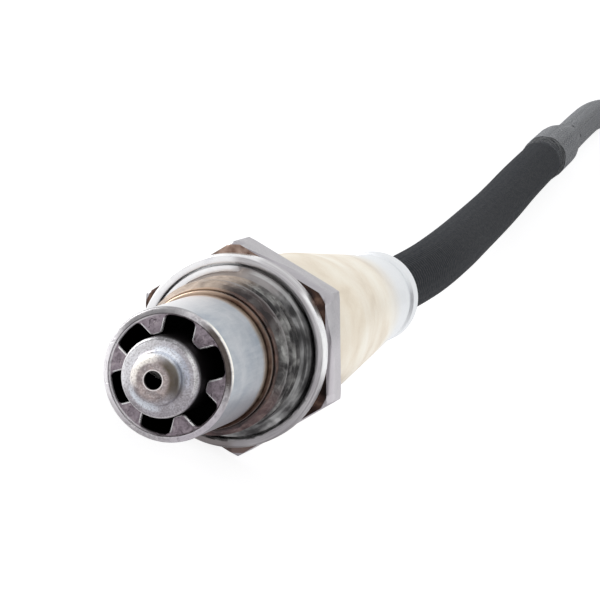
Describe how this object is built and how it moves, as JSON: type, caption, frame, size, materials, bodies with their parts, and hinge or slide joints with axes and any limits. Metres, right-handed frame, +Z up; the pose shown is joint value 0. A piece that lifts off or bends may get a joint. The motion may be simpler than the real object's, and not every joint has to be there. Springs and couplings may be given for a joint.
{
  "type": "oxygen sensor",
  "caption": "Exhaust gas oxygen sensor: windowed protection tube with a stepped nose, threaded hexagon, tapered sleeve, and a sleeved lead with its plug.",
  "frame": {"origin": "on the sensor's axis, in the plane of the seal ring's front, where the thread begins", "axes": "+Y along the sensor's axis from the nose to the lead, +Z up with the sensor lying on its side on a flat of the hexagon, +X to the right seen from the nose"},
  "size_m": [0.0794, 0.4929, 0.0228],
  "materials": {
    "tube_steel": "satin, faintly heat-tinted",
    "nose_steel": "satin, bead-blasted, faint brown and violet tint",
    "housing_steel": "satin nickel-plated, brown in the chamfers, grey paste on the thread",
    "seal_steel": "polished folded steel",
    "sleeve_steel": "pale straw satin",
    "spring_steel": "plain",
    "contact_alloy": "plain",
    "element_ceramic": "matt fired",
    "bushing_ceramic": "matt fired",
    "talc": "pressed powder",
    "grommet_rubber": "matt",
    "wire_insulation": "smooth",
    "hose_black": "woven and coated, matt",
    "braid_grey": "braided sleeve, matt",
    "connector_black": "fine spark-eroded",
    "terminal_tin": "tinned",
    "lock_plastic": "moulded grey",
    "seal_silicone": "silicone"
  },
  "bodies": {
    "root": {"outer_protection_tube": "tube_steel", "inner_protection_tube": "nose_steel", "housing": "housing_steel", "seal_ring": "seal_steel", "sensor_element": "element_ceramic", "lower_bushing": "bushing_ceramic", "talc_seal": "talc", "upper_bushing": "bushing_ceramic", "press_ring": "spring_steel", "contact_carrier_upper": "bushing_ceramic", "contact_carrier_lower": "bushing_ceramic", "carrier_clip": "spring_steel", "contact_springs": "contact_alloy", "lead_wires": "wire_insulation", "sleeve": "sleeve_steel", "grommet": "grommet_rubber", "cable_hose": "hose_black", "braid_end": "braid_grey", "braided_cable": "braid_grey", "cable_coil": "braid_grey", "connector_body": "connector_black", "pin_terminals": "terminal_tin", "terminal_lock": "lock_plastic", "wire_seal": "seal_silicone", "connector_cap": "connector_black", "connector_wires": "wire_insulation"}
  },
  "joints": []
}
